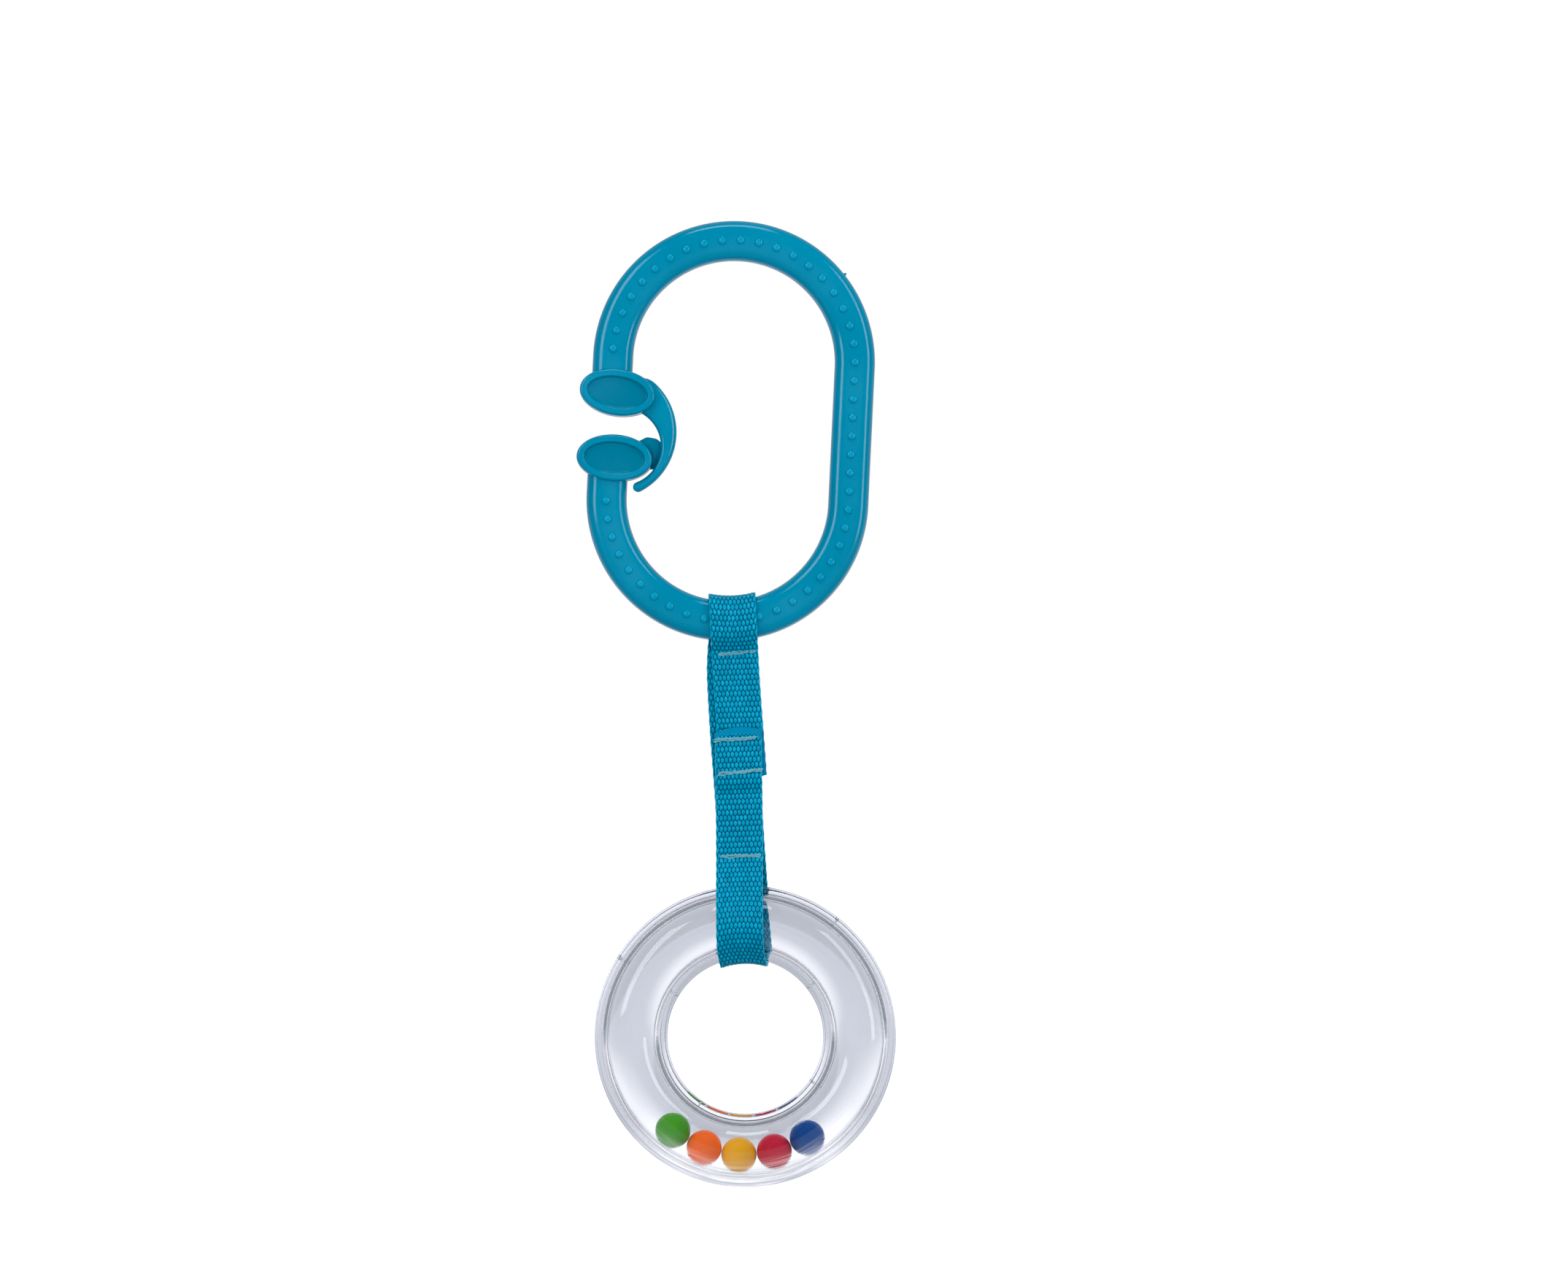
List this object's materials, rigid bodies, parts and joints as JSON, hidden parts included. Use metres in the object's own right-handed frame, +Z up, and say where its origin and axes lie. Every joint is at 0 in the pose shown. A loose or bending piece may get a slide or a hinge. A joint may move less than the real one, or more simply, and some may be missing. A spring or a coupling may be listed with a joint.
{
  "type": "teething ring",
  "caption": "Spring link with a hooked gap, carrying a clear hollow ring of rolling beads on a sewn webbing strap.",
  "frame": {"origin": "top of the link's window, where a finger or a hook holds it", "axes": "+Z up, along the hanging length; -Y is the front, which the raised pads face; +X to the right"},
  "size_m": [0.0653, 0.0162, 0.2084],
  "materials": {
    "teal_plastic": "glossy moulded, teal",
    "teal_webbing": "woven polypropylene, teal",
    "pale_thread": "pale teal sewing thread",
    "clear_plastic": "polished, clear",
    "green_plastic": "satin, green",
    "orange_plastic": "satin, orange",
    "yellow_plastic": "satin, yellow",
    "red_plastic": "satin, red",
    "blue_plastic": "satin, blue"
  },
  "bodies": {
    "link": {"link_frame": "teal_plastic"},
    "hook": {"link_hook": "teal_plastic"},
    "upper_loop": {"strap_upper_loop": "teal_webbing", "seam_upper_loop": "pale_thread"},
    "strap_upper": {"strap_back_upper": "teal_webbing", "strap_front_upper": "teal_webbing", "strap_overlap": "teal_webbing", "seam_overlap_top": "pale_thread", "seam_overlap_bottom": "pale_thread"},
    "strap_lower": {"strap_back_lower": "teal_webbing", "strap_front_lower": "teal_webbing"},
    "lower_loop": {"strap_lower_loop": "teal_webbing", "seam_lower_loop": "pale_thread"},
    "ring": {"ring_front_shell": "clear_plastic", "ring_back_shell": "clear_plastic"},
    "yellow_bead": {"bead_yellow": "yellow_plastic"},
    "red_bead": {"bead_red": "red_plastic"},
    "blue_bead": {"bead_blue": "blue_plastic"},
    "orange_bead": {"bead_orange": "orange_plastic"},
    "green_bead": {"bead_green": "green_plastic"}
  },
  "joints": [
    {"name": "hook_flex", "type": "hinge", "parent": "link", "child": "hook", "pos_m": [-0.02024, 0, -0.02858], "axis": [0, -1, 0], "range_deg": [0, 12], "stiffness_Nm_per_rad": 0.9},
    {"name": "loop_slide", "type": "hinge", "parent": "link", "child": "upper_loop", "pos_m": [-0.00239, 0, -0.0515], "axis": [0, -1, 0], "range_deg": [-70, 70]},
    {"name": "upper_neck_bend", "type": "hinge", "parent": "upper_loop", "child": "strap_upper", "pos_m": [-0.00239, 0, -0.0865], "axis": [1, 0, 0], "range_deg": [-90, 90]},
    {"name": "strap_twist", "type": "hinge", "parent": "strap_upper", "child": "strap_lower", "pos_m": [-0.00239, 0, -0.1196], "axis": [0, 0, 1], "range_deg": [-90, 90]},
    {"name": "lower_neck_bend", "type": "hinge", "parent": "strap_lower", "child": "lower_loop", "pos_m": [-0.00239, 0, -0.1264], "axis": [1, 0, 0], "range_deg": [-90, 90]},
    {"name": "ring_turn", "type": "hinge", "parent": "lower_loop", "child": "ring", "pos_m": [-0.00239, 0, -0.1673], "axis": [0, -1, 0], "continuous": true},
    {"name": "yellow_roll", "type": "hinge", "parent": "ring", "child": "yellow_bead", "pos_m": [-0.00239, 0, -0.1673], "axis": [0, -1, 0], "continuous": true},
    {"name": "red_roll", "type": "hinge", "parent": "yellow_bead", "child": "red_bead", "pos_m": [-0.00239, 0, -0.1673], "axis": [0, -1, 0], "range_deg": [0, 65]},
    {"name": "blue_roll", "type": "hinge", "parent": "red_bead", "child": "blue_bead", "pos_m": [-0.00239, 0, -0.1673], "axis": [0, -1, 0], "range_deg": [0, 65]},
    {"name": "orange_roll", "type": "hinge", "parent": "yellow_bead", "child": "orange_bead", "pos_m": [-0.00239, 0, -0.1673], "axis": [0, 1, 0], "range_deg": [0, 65]},
    {"name": "green_roll", "type": "hinge", "parent": "orange_bead", "child": "green_bead", "pos_m": [-0.00239, 0, -0.1673], "axis": [0, 1, 0], "range_deg": [0, 65]}
  ]
}
